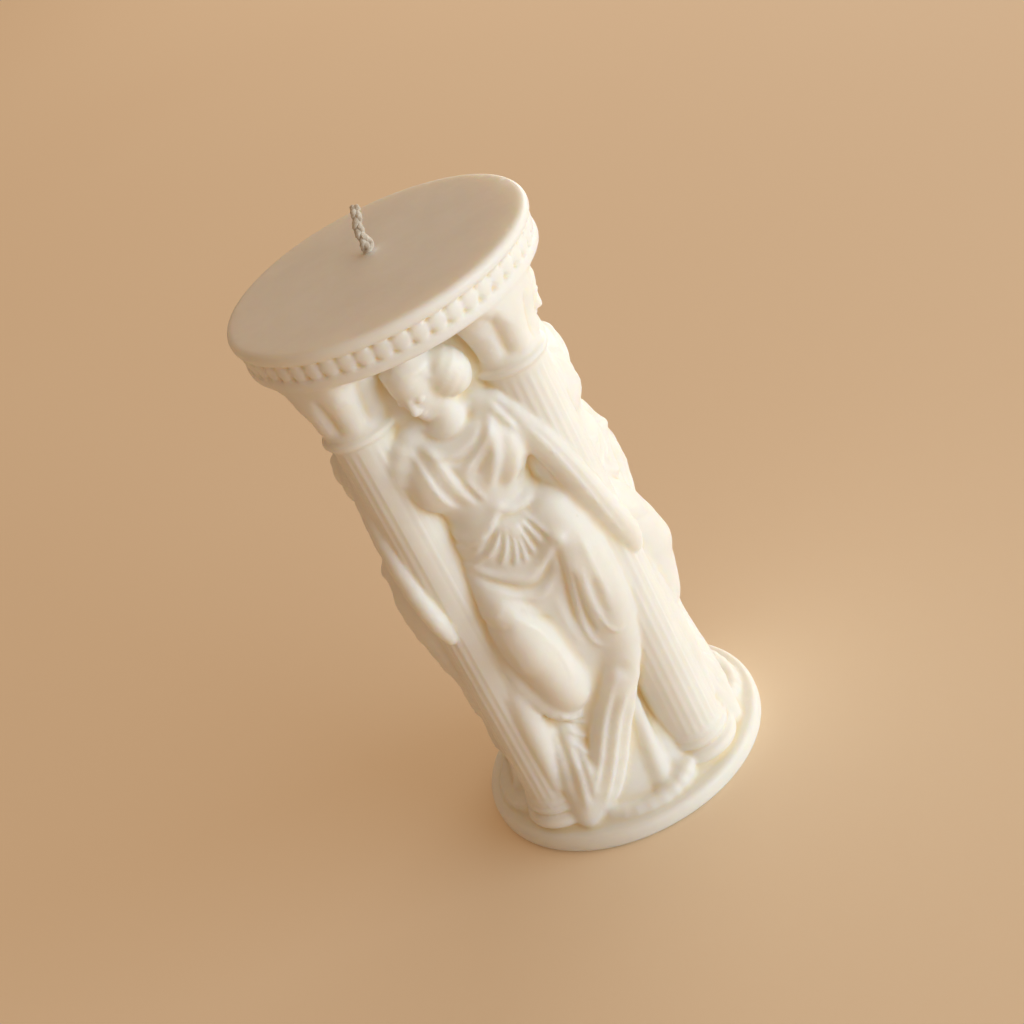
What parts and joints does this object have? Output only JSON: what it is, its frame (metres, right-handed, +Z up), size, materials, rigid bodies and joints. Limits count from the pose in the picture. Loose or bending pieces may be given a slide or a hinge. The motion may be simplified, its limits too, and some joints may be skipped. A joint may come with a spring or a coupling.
{
  "type": "sculpted pillar candle",
  "caption": "Sculpted wax pillar candle shaped as a small round temple with fluted columns and draped figures, with a braided wick.",
  "frame": {"origin": "centre of the underside of the plinth", "axes": "+Z up along the candle, -Y out of the front figure"},
  "size_m": [0.0652, 0.0652, 0.1433],
  "materials": {
    "wax": "cast cream-white vegetable wax, satin, slightly translucent",
    "cotton": "unbleached braided cotton, waxed"
  },
  "bodies": {
    "root": {"wax_body": "wax", "wick_strand_1": "cotton", "wick_strand_2": "cotton", "wick_strand_3": "cotton"}
  },
  "joints": []
}
